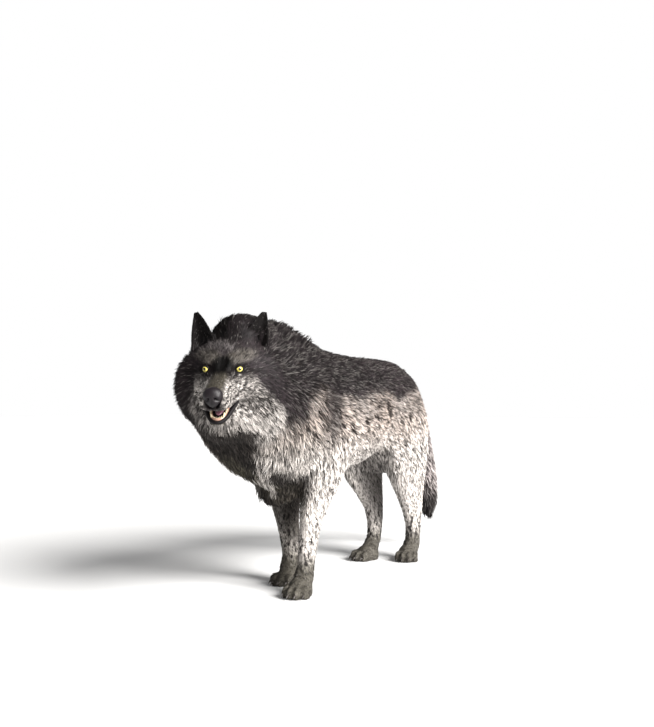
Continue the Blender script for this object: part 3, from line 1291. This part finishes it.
def unwrap(roots, normal, part_names):
    """Places in a unit square: turned round each part's own axis, one strip for each part."""
    uv = np.zeros((len(roots), 2))
    kind = part_names[0].split("_")[0]
    if kind in ("head", "jaw"):
        local = in_head(roots) - (0.0, 0.03, -0.03)
        uv[:, 0] = np.arctan2(local[:, 0], -local[:, 1])
        uv[:, 1] = local[:, 2] / np.linalg.norm(local, axis=1)
        return fitted(uv)
    if kind in ("neck", "trunk"):
        centre = middle(part_names[0])
        uv[:, 0] = roots[:, 1]
        uv[:, 1] = np.arctan2(roots[:, 2] - centre.z, roots[:, 0] - centre.x)
        uv[:, 1] = np.mod(uv[:, 1] + math.pi / 2, math.tau)
        return fitted(uv)
    centres = np.array([middle(part_name) for part_name in part_names])
    owner = np.linalg.norm(roots[:, None, :] - centres[None], axis=2).argmin(1)
    for index in range(len(part_names)):
        held = owner == index
        off = roots[held] - centres[index]
        if kind == "ear":
            local = off @ HEAD_TURN
            front = (normal[held] @ HEAD_TURN)[:, 1] < 0
            cell = np.stack([local[:, 0], local[:, 2]], 1)
            cell = fitted(cell) * (0.5, 1.0) + np.where(column(front), (0.5, 0.0), (0.0, 0.0))
        else:
            cell = fitted(np.stack([np.arctan2(off[:, 1], off[:, 0]), off[:, 2]], 1))
        uv[held, 0] = (index + 0.02 + 0.96 * cell[:, 0]) / len(part_names)
        uv[held, 1] = cell[:, 1]
    return fitted(uv)


MAP_MARGIN, MAP_SPAN = 0.004, 0.992


def fitted(uv):
    """Scales each axis of a map to run from just above 0 to just below 1."""
    least, most = uv.min(0), uv.max(0)
    return MAP_MARGIN + MAP_SPAN * (uv - least) / np.maximum(most - least, 1e-9)


def face_only(centres):
    across, back, up = in_head(centres).T
    return (back < 0.035) & (np.abs(across) < 0.088) & (up > -0.135)


def ruff_only(centres):
    return ~face_only(centres)


def hackles_only(centres):
    """The crest behind the ears, before the withers."""
    return (centres[:, 2] > 0.79) & (np.abs(centres[:, 1] + 0.325) < 0.075)


def face_weight(centres):
    """More tufts where they are shorter: towards the nose and round the eyes."""
    back = in_head(centres)[:, 1]
    return 1.0 + 1.2 * ease(back, 0.03, -0.08)


class CoatPiece:
    """What the operators of the coat share. A piece is (name, parts, tufts, rings, side, where, weight)."""

    bl_options = {"REGISTER"}
    pieces = ()

    def execute(self, context):
        for name, part_names, count, rings, side, keep, weight in self.pieces:
            made = grow(context, name, part_names, count, rings, side, keep, weight)
            slot = "coat_dark" if part_names[0] in ("tail", "ear_left") else "coat_pale"
            slot = "coat_grey" if part_names[0] in ("head", "neck") else slot
            made.data.materials.append(bpy.data.materials["coat"])
            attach(made, "root")
        return {"FINISHED"}


class WOLF_OT_coat_face(CoatPiece, bpy.types.Operator):
    """Grow the short hair of muzzle, brows and cheeks"""

    bl_idname = "wolf.coat_face"
    bl_label = "Coat of the face"
    pieces = (("coat_face", ["head", "jaw"], 19000, 2, 0, face_only, face_weight),)


class WOLF_OT_coat_ruff(CoatPiece, bpy.types.Operator):
    """Grow the long hair of cheeks, throat and crown"""

    bl_idname = "wolf.coat_ruff"
    bl_label = "Coat of the ruff"
    pieces = (("coat_ruff", ["head", "jaw"], 16500, 2, 0, ruff_only, None),)


class WOLF_OT_coat_ears(CoatPiece, bpy.types.Operator):
    """Grow the close hair of the ears"""

    bl_idname = "wolf.coat_ears"
    bl_label = "Coat of the ears"
    pieces = (("coat_ears", ["ear_left", "ear_right"], 5500, 2, 0, None, None),)


class WOLF_OT_coat_mane(CoatPiece, bpy.types.Operator):
    """Grow the mane"""

    bl_idname = "wolf.coat_mane"
    bl_label = "Coat of the mane"
    pieces = (
        ("coat_mane_left", ["neck"], 16000, 2, 1, None, None),
        ("coat_mane_right", ["neck"], 13500, 2, -1, None, None),
        ("coat_hackles", ["neck"], 1500, 3, 0, hackles_only, None),
    )


class WOLF_OT_coat_trunk(CoatPiece, bpy.types.Operator):
    """Grow the coat of back, flanks and belly"""

    bl_idname = "wolf.coat_trunk"
    bl_label = "Coat of the trunk"
    pieces = (
        ("coat_trunk_left", ["trunk"], 18500, 2, 1, None, None),
        ("coat_trunk_right", ["trunk"], 14500, 2, -1, None, None),
    )


class WOLF_OT_coat_legs(CoatPiece, bpy.types.Operator):
    """Grow the coat of the legs"""

    bl_idname = "wolf.coat_legs"
    bl_label = "Coat of the legs"
    pieces = (
        ("coat_legs_front", ["leg_front_left", "leg_front_right"], 13000, 2, 0, None, None),
        ("coat_legs_hind", ["leg_hind_left", "leg_hind_right"], 14500, 2, 0, None, None),
    )


class WOLF_OT_coat_paws(CoatPiece, bpy.types.Operator):
    """Grow the short hair of the paws"""

    bl_idname = "wolf.coat_paws"
    bl_label = "Coat of the paws"
    pieces = (("coat_paws", [f"paw_{leg}" for leg in LEGS], 8000, 2, 0, None, None),)


class WOLF_OT_coat_tail(CoatPiece, bpy.types.Operator):
    """Grow the brush of the tail"""

    bl_idname = "wolf.coat_tail"
    bl_label = "Coat of the tail"
    pieces = (("coat_tail", ["tail"], 5000, 2, 0, None, None),)


# ---------------------------------------------------------------- eyes and lids
CORNEA_BULGE = 0.0007
LID_AROUND = 56
LID_ROWS = (0.0, 0.10, 0.28, 0.50, 0.75, 1.0)  # shares of the rim's width, from the opening outwards
LID_STAND, LID_SHEET = 0.0011, 0.0009  # how far the lids stand off the ball, and their thickness
LID_WIDE = 0.0108  # half width of the opening
LID_UPPER, LID_LOWER = 0.0066, 0.0082  # how far it reaches above and below the line of sight
LID_SLANT = 0.16  # rise of the line between the corners, towards the outer one


def eyeball(side, label):
    bpy.ops.mesh.primitive_uv_sphere_add(segments=48, ring_count=32, radius=EYE_RADIUS)
    ball = added(f"eyeball_{label}")
    points = places(ball.data)[:, [0, 2, 1]] * (1, -1, 1)
    points[:, 1] -= CORNEA_BULGE * ease(-points[:, 1] / EYE_RADIUS, 0.70, 1.0)
    put(ball.data, out_of(eye_frame(side), points))
    recalculate(ball)
    return ball


def recalculate(piece):
    with editing(piece):
        bpy.ops.mesh.normals_make_consistent(inside=False)


def almond(turn, half_width, upper, lower):
    """A point of the lids' opening: pointed at both corners, and with its outer corner raised."""
    across = math.cos(turn)
    rise = math.sin(turn)
    height = upper if rise > 0 else lower
    return half_width * across, height * rise * (1.0 - 0.25 * across**2) + LID_SLANT * half_width * across


def eyelids(side, label, rim_width):
    """The dark rim round the eye: from the ball, over a rounded margin, out to the skin of the face."""
    skin = bpy.data.objects["skin"].data
    tree = BVHTree.FromPolygons([tuple(p) for p in places(skin)], corners(skin).tolist())
    turn = eye_frame(side)
    back = turn.inverted()
    rows = []
    for step in range(LID_AROUND):
        angle = math.tau * step / LID_AROUND
        row = []
        corner = abs(math.cos(angle)) ** 6 * (0.6 if math.cos(angle) > 0 else 1.1)
        for share in LID_ROWS:
            rim = rim_width * share
            opening = LID_WIDE + rim * (1.0 + corner)
            wide, high = almond(angle, opening, LID_UPPER + rim, LID_LOWER + rim * 0.9)
            wide *= side
            off = min(math.hypot(wide, high), EYE_RADIUS * 0.985)
            on_ball = -math.sqrt(EYE_RADIUS**2 - off**2)
            row.append([wide, on_ball, high, share])
        rows.append(row)
    work = bmesh.new()
    loops = []
    for index in range(len(LID_ROWS)):
        loop = []
        for row in rows:
            wide, on_ball, high, share = row[index]
            outer = row[-1]
            rim = turn @ Vector((outer[0], outer[1] - 0.004, outer[2]))
            found = tree.find_nearest(rim)
            target = back @ (found[0] - found[1] * 0.0004)
            inner_depth = on_ball - 0.0009 * (1.0 - abs(2 * min(share, 0.5) / 0.5 - 1.0)) - 0.0002
            depth = inner_depth + (target.y - inner_depth) * ease(np.float64(share), 0.12, 1.0)
            depth -= 0.0012 * math.sin(math.pi * min(1.0, share * 1.15))
            place = target if share == 1.0 else Vector((wide, depth, high))
            over_ball = math.hypot(place.x, place.z) < EYE_RADIUS * 0.98
            if over_ball and share > 0.0 and place.length < EYE_RADIUS + LID_STAND:
                place = place.normalized() * (EYE_RADIUS + LID_STAND)
            loop.append(work.verts.new(turn @ place))
        loops.append(loop)
    for inner, outer in zip(loops, loops[1:]):
        for index in range(LID_AROUND):
            after = (index + 1) % LID_AROUND
            work.faces.new((inner[index], inner[after], outer[after], outer[index]))
    mesh = bpy.data.meshes.new(f"lids_{label}")
    work.to_mesh(mesh)
    work.free()
    lids = bpy.data.objects.new(f"lids_{label}", mesh)
    bpy.context.scene.collection.objects.link(lids)
    apply_modifier(lids, "SOLIDIFY", thickness=LID_SHEET, offset=-1.0)
    apply_modifier(lids, "SUBSURF", levels=1, render_levels=1)
    recalculate(lids)
    return lids


class WOLF_OT_eyes(bpy.types.Operator):
    """Make the eyes and their lids"""

    bl_idname = "wolf.eyes"
    bl_label = "Eyes and lids"

    def execute(self, context):
        for side, label in SIDES:
            finished(eyeball(side, label), bpy.data.materials[f"eye_{label}"], "iris", f"eye_{label}")
            lids = eyelids(side, label, context.scene.wolf_face.lid)
            finished(lids, bpy.data.materials["lid_rim"], "nose_leather")
        return {"FINISHED"}


# ---------------------------------------------------------------- nose
NOSE_HALF = np.array((0.0258, 0.0200, 0.0250))


def dimple(across, up):
    """1 at a point of the nose and soon less round it, for places measured in the dimple's own size."""
    return np.exp(-(across**2) - up**2)


class WOLF_OT_nose(bpy.types.Operator):
    """Make the nose, with its nostrils and the groove between them"""

    bl_idname = "wolf.nose"
    bl_label = "Nose"

    def execute(self, context):
        bpy.ops.mesh.primitive_uv_sphere_add(segments=96, ring_count=64, radius=1.0)
        nose = added("nose_pad")
        ball = places(nose.data)[:, [0, 2, 1]] * (1, -1, 1)
        across, along, up = ball.T
        front = ease(-along, 0.0, 0.45)
        wide = np.abs(across)
        hole = dimple((wide - 0.45) / 0.150, (up + 0.26 + 0.25 * (wide - 0.43)) / 0.135) * front
        slit = dimple((wide - 0.74) / 0.20, (up + 0.40) / 0.055) * ease(wide, 0.45, 0.62) * front
        groove = dimple(across / 0.045, 0.0) * ease(-up, 0.05, 0.55) * front
        wing = dimple((wide - 0.60) / 0.22, (up + 0.02) / 0.20) * front
        reach = 1.0 - 0.42 * hole - 0.20 * slit - 0.10 * groove + 0.05 * wing
        shaped = ball * column(reach) * NOSE_HALF
        shaped[:, 0] *= 1.04 + 0.10 * up - 0.22 * ease(-up, 0.35, 1.0)
        shaped[:, 2] *= 1.0 + 0.20 * ease(-up, 0.0, 0.6)
        put(nose.data, out_of(HEAD, shaped + NOSE_PLACE))
        recalculate(nose)
        finished(nose, bpy.data.materials["nose"], "nose_leather", "nose")
        return {"FINISHED"}


# ---------------------------------------------------------------- mouth
def tube(name, path, radii, frame_matrix, resolution=4):
    """A tube with closed ends along a smooth path, its radius set at each point."""
    curve = bpy.data.curves.new(name, "CURVE")
    curve.dimensions = "3D"
    curve.bevel_depth = 1.0
    curve.bevel_resolution = resolution
    curve.use_fill_caps = True
    spline = curve.splines.new("POLY")
    fine = finer(np.array(path, float), 6)
    thick = finer(np.array(radii, float)[:, None], 6)[:, 0]
    spline.points.add(len(fine) - 1)
    for point, place, radius in zip(spline.points, fine, thick):
        point.co = (*place, 1.0)
        point.radius = radius
    drawn = bpy.data.objects.new(name, curve)
    bpy.context.scene.collection.objects.link(drawn)
    only(drawn)
    bpy.ops.object.convert(target="MESH")
    piece = bpy.context.active_object
    piece.data.transform(frame_matrix)
    with editing(piece):
        bpy.ops.mesh.remove_doubles(threshold=0.000001)
        bpy.ops.mesh.normals_make_consistent(inside=False)
    return piece


def finer(points, times):
    """More points on a smooth curve through the given ones."""
    padded = np.concatenate([2 * points[:1] - points[1:2], points, 2 * points[-1:] - points[-2:-1]])
    made = []
    for index in range(len(points) - 1):
        a, b, c, d = padded[index : index + 4]
        for step in range(times):
            t = step / times
            bent = (2 * a - 5 * b + 4 * c - d) * t**2
            twisted = (3 * b - a - 3 * c + d) * t**3
            made.append(0.5 * (2 * b + (c - a) * t + bent + twisted))
    made.append(points[-1])
    return np.array(made)


def both_sides(half):
    """A whole arch from the points of its left half, which ends at the middle line."""
    return [tuple(row) for row in half] + [(-row[0], *row[1:]) for row in half[-2::-1]]


# Half of each lip and gum, from its back end to the middle line, in the frames of the jaw and the head.
LOWER_LIP = (
    (0.0515, -0.0385, -0.0880), (0.0440, -0.0520, -0.0925), (0.0345, -0.0740, -0.0995),
    (0.0255, -0.0960, -0.1050), (0.0135, -0.1130, -0.1080), (0.0, -0.1190, -0.1082),
)
LOWER_LIP_RADII = (0.0018, 0.0048, 0.0062, 0.0060, 0.0054, 0.0050)
UPPER_LIP = (
    (0.0520, -0.0370, -0.0840), (0.0440, -0.0560, -0.0865), (0.0390, -0.0780, -0.0890),
    (0.0345, -0.1000, -0.0920), (0.0280, -0.1200, -0.0952), (0.0160, -0.1340, -0.0962),
    (0.0, -0.1400, -0.0950),
)
UPPER_LIP_RADII = (0.0022, 0.0034, 0.0030, 0.0026, 0.0026, 0.0028, 0.0030)
# The hanging part of the cheek over the upper lip, from the corner of the mouth forwards.
FLEW = (
    (0.0560, -0.0220, -0.0760), (0.0500, -0.0380, -0.0755), (0.0425, -0.0560, -0.0765),
    (0.0365, -0.0780, -0.0780), (0.0325, -0.0980, -0.0790), (0.0270, -0.1150, -0.0800),
)
FLEW_RADII = (0.0080, 0.0098, 0.0100, 0.0095, 0.0085, 0.0060)
# Bare skin in the mouth's corner: its middle and half sizes.
WEB, WEB_HALF = np.array((0.0500, -0.0440, -0.0900)), (0.0080, 0.0130, 0.0085)
LOWER_GUM = (
    (0.0225, -0.0580, -0.0985), (0.0215, -0.0760, -0.1010), (0.0195, -0.0900, -0.1035),
    (0.0140, -0.1020, -0.1050), (0.0, -0.1090, -0.1050),
)
UPPER_GUM = (
    (0.0280, -0.0500, -0.0830), (0.0265, -0.0750, -0.0860), (0.0240, -0.1020, -0.0895),
    (0.0165, -0.1240, -0.0915), (0.0, -0.1320, -0.0915),
)
GUM_RADIUS = 0.0046
# Teeth of one half: share of the way from the back to the middle in front, length, radius at the gum.
TEETH = (
    (0.10, 0.0050, 0.0034), (0.26, 0.0060, 0.0032), (0.41, 0.0058, 0.0028), (0.54, 0.0050, 0.0023),
    (0.700, 0.0125, 0.0034), (0.80, 0.0046, 0.0020), (0.88, 0.0042, 0.0018), (0.96, 0.0040, 0.0017),
)
FANG_LENGTH = 0.01  # teeth longer than this lean outwards
UPPER_TEETH = 0.55  # length of the upper teeth that shows, against the lower ones


def tooth(root, tip, radius):
    """A curved, tapering tooth with a rounded point."""
    bpy.ops.mesh.primitive_cone_add(
        vertices=12, radius1=radius, radius2=radius * 0.18, depth=1.0, end_fill_type="TRIFAN"
    )
    made = added("tooth")
    with editing(made):
        bpy.ops.mesh.subdivide(number_cuts=2)
    points = places(made.data)
    share = points[:, 2] + 0.5
    aim = Vector(tip) - Vector(root)
    turn = np.array(aim.to_track_quat("Z", "Y").to_matrix())
    girth = 1.0 + 0.35 * np.sin(np.pi * share.clip(0, 1)) * (1 - share)
    flat = np.stack([points[:, 0] * girth, points[:, 1] * girth, share * aim.length], 1)
    bent = flat @ turn.T + np.array(root)
    bent[:, 1] += 0.12 * aim.length * (share**2)
    put(made.data, bent)
    return made


def dental_arch(name, line, rise, frame_matrix):
    """A gum with its teeth, which stand up where rise is 1 and hang where it is -1."""
    path = both_sides(line)
    gum = tube(f"{name}_bar", path, [GUM_RADIUS] * len(path), Matrix())
    fine = finer(np.array(path), 24)
    run = np.concatenate([[0.0], np.cumsum(np.linalg.norm(np.diff(fine, axis=0), axis=1))])
    teeth = []
    for share, length, radius in TEETH:
        for part in (share / 2, 1.0 - share / 2):
            root = np.array([np.interp(part * run[-1], run, fine[:, axis]) for axis in range(3)])
            lean = 0.30 if length > FANG_LENGTH else 0.06
            tall = GUM_RADIUS * 0.8 + length * (1.0 if rise > 0 else UPPER_TEETH)
            tip = root + (lean * length * np.sign(root[0]), 0.10 * length, rise * tall)
            teeth.append(tooth(root, tip, radius))
    teeth = joined(f"{name}_teeth", teeth)
    for piece, material in ((gum, "gum"), (teeth, "tooth")):
        piece.data.materials.clear()
        piece.data.materials.append(bpy.data.materials[material])
    whole = joined(name, [gum, teeth])
    whole.data.transform(frame_matrix)
    return whole


def tongue_piece():
    """A flat tongue with a groove down its middle, in the frame of the jaw."""
    bpy.ops.mesh.primitive_uv_sphere_add(segments=40, ring_count=28, radius=1.0)
    made = added("tongue_flesh")
    ball = places(made.data)
    across, along, up = ball.T
    length = (along + 1.0) / 2.0
    back = -0.0925 + 0.060 * length
    wide = 0.0115 + 0.0045 * length
    high = 0.0048 + 0.0020 * length
    groove = 0.0016 * np.exp(-((across / 0.22) ** 2)) * ease(up, 0.0, 0.6)
    middle_line = -0.1010 - 0.0010 * length**2
    spots = np.stack([across * wide, back, middle_line + up * high - groove], 1)
    put(made.data, out_of(JAW, spots))
    recalculate(made)
    return made


class WOLF_OT_mouth(bpy.types.Operator):
    """Make lips, gums with teeth, and tongue"""

    bl_idname = "wolf.mouth"
    bl_label = "Mouth"

    def execute(self, context):
        lips = []
        for name, half, radii, where in (
            ("lower_lip", LOWER_LIP, LOWER_LIP_RADII, JAW),
            ("upper_lip", UPPER_LIP, UPPER_LIP_RADII, HEAD),
        ):
            lips.append(tube(name, both_sides(half), list(radii) + list(radii[-2::-1]), where))
        finished(joined("lips", lips), bpy.data.materials["lip"], "nose_leather")
        lower = dental_arch("gums_lower", LOWER_GUM, 1, JAW)
        upper = dental_arch("gums_upper", UPPER_GUM, -1, HEAD)
        finished(lower, None, "gum", "gum_lower")
        finished(upper, None, "gum", "gum_upper")
        finished(tongue_piece(), bpy.data.materials["tongue"], "tongue", "tongue")
        return {"FINISHED"}


# ---------------------------------------------------------------- claws
CLAW_GIRTH = 0.0046  # half height of a claw at its root
CLAW_BEND = 0.0035
CLAW_REACH = 1.05  # length of a claw, against that of its solid


class WOLF_OT_claws(bpy.types.Operator):
    """Make the claws, one piece for each paw"""

    bl_idname = "wolf.claws"
    bl_label = "Claws"

    def execute(self, context):
        for leg in LEGS:
            solids = [f"claw_{leg}_{toe}" for toe in TOES]
            whole = joined(f"claws_{leg}", [self.claw(node) for node in solids])
            finished(whole, bpy.data.materials["claw"], "claw_horn", *solids)
        return {"FINISHED"}

    def claw(self, node):
        """A curved claw along the axis of its solid, thicker at the root."""
        spots = places(frame["nodes"][node].data)
        centre = spots.mean(0)
        axis = np.linalg.svd(spots - centre)[2][0]
        axis = axis if axis[2] < 0 else -axis
        run = (spots - centre) @ axis
        root = centre + axis * run.min()
        length = run.max() - run.min()
        bpy.ops.mesh.primitive_cone_add(vertices=14, radius1=1.0, radius2=0.10, depth=1.0)
        made = added(node + "_horn")
        with editing(made):
            bpy.ops.mesh.subdivide(number_cuts=3)
        wide, high, along = places(made.data).T
        share = along + 0.5
        turn = np.array(Vector(axis).to_track_quat("Z", "Y").to_matrix())
        local = np.stack([wide * CLAW_GIRTH * 0.8, high * CLAW_GIRTH, share * length * CLAW_REACH], 1)
        bent = local @ turn.T + root
        bent[:, 2] += CLAW_BEND * np.sin(np.pi * share.clip(0, 1))
        put(made.data, bent)
        return made


# ---------------------------------------------------------------- stage
CAMERA_PLACE = Vector((1.6471, -2.5519, 0.610))
CAMERA_HEADING, CAMERA_PITCH = math.radians(33.0), math.radians(2.7)
CAMERA_LENS = 42.1
FLOOR_SIZE = 60.0
KEY_FROM = (0.86, -0.06, 0.50)
KEY_COLOUR = (1.0, 0.985, 0.965)
KEY_STRENGTH = 10.2
KEY_SPREAD = math.radians(34.0)
SURROUND = 0.34  # how strongly the white surround lights the wolf


class WOLF_OT_stage(bpy.types.Operator):
    """Make the floor, the lights and the camera"""

    bl_idname = "wolf.stage"
    bl_label = "Stage"

    def execute(self, context):
        deselect()
        bpy.ops.mesh.primitive_plane_add(size=FLOOR_SIZE)
        floor = added("floor")
        material, nodes, shader = new_material("floor")
        mottle = use_group(
            nodes, "Mottle", Colour=(0.70, 0.70, 0.70, 1.0), Coarse_size=0.8, Fine_size=0.05, Strength=0.02,
            Roughness=0.7, Roughness_spread=0.05,
        )
        nodes.feed(shader, Base_Color=mottle.outputs["Colour"], Roughness=mottle.outputs["Roughness"])
        floor.data.materials.append(material)
        self.sun_light(context.scene)
        self.backdrop(context.scene)
        camera = bpy.data.cameras.new("camera")
        camera.lens = CAMERA_LENS
        camera.sensor_width = 36.0
        camera.clip_start = 0.05
        camera.clip_end = 100.0
        held = bpy.data.objects.new("camera", camera)
        held.location = CAMERA_PLACE
        ahead = Vector((-math.sin(CAMERA_HEADING), math.cos(CAMERA_HEADING), math.tan(CAMERA_PITCH)))
        held.rotation_euler = ahead.to_track_quat("-Z", "Y").to_euler()
        context.scene.collection.objects.link(held)
        context.scene.camera = held
        return {"FINISHED"}

    def sun_light(self, scene):
        """A soft sun from the wolf's left and a little ahead of it."""
        lamp = bpy.data.lights.new("key", "SUN")
        lamp.energy = KEY_STRENGTH
        lamp.angle = KEY_SPREAD
        lamp.color = KEY_COLOUR
        held = bpy.data.objects.new("key", lamp)
        held.rotation_euler = (-Vector(KEY_FROM)).to_track_quat("-Z", "Y").to_euler()
        held.location = Vector(KEY_FROM) * 3.0
        scene.collection.objects.link(held)

    def backdrop(self, scene):
        """A white surround that lights the scene less than it shows."""
        world = bpy.data.worlds.new("studio")
        world.use_nodes = True
        nodes = Nodes(world.node_tree)
        ground = world.node_tree.nodes["Background"]
        path = nodes.add("ShaderNodeLightPath")
        level = nodes.add("ShaderNodeMapRange")
        nodes.feed(level, Value=path.outputs["Is Camera Ray"], To_Min=SURROUND, To_Max=1.0)
        nodes.feed(ground, Color=(1.0, 1.0, 1.0, 1.0), Strength=level.outputs["Result"])
        scene.world = world
        scene.view_settings.view_transform = "Standard"


# ---------------------------------------------------------------- panel and registration
PIECES = (
    WOLF_OT_skin, WOLF_OT_eyes, WOLF_OT_nose, WOLF_OT_mouth, WOLF_OT_claws,
    WOLF_OT_coat_face, WOLF_OT_coat_ruff, WOLF_OT_coat_ears, WOLF_OT_coat_mane, WOLF_OT_coat_trunk,
    WOLF_OT_coat_legs, WOLF_OT_coat_paws, WOLF_OT_coat_tail, WOLF_OT_stage,
)
GROUPS = (("wolf_colours", WolfColours), ("wolf_coat", WolfCoat), ("wolf_face", WolfFace))


class WOLF_PT_panel(bpy.types.Panel):
    """The wolf's settings and pieces"""

    bl_idname = "WOLF_PT_panel"
    bl_label = "Timber wolf"
    bl_space_type = "VIEW_3D"
    bl_region_type = "UI"
    bl_category = "Wolf"

    def draw(self, context):
        for name, group in GROUPS:
            box = self.layout.box()
            for setting in group.__annotations__:
                box.prop(getattr(context.scene, name), setting)
        for piece in PIECES:
            self.layout.operator(piece.bl_idname)


def register():
    for _, group in GROUPS:
        bpy.utils.register_class(group)
    for name, group in GROUPS:
        setattr(bpy.types.Scene, name, PointerProperty(type=group))
    for piece in (*PIECES, WOLF_PT_panel):
        bpy.utils.register_class(piece)


def unregister():
    for piece in (WOLF_PT_panel, *reversed(PIECES)):
        bpy.utils.unregister_class(piece)
    for name, group in reversed(GROUPS):
        delattr(bpy.types.Scene, name)
        bpy.utils.unregister_class(group)


def main():
    register()
    build_materials(bpy.context.scene.wolf_face)
    for piece in PIECES:
        family, name = piece.bl_idname.split(".")
        getattr(getattr(bpy.ops, family), name)()


if __name__ == "__main__":
    main()
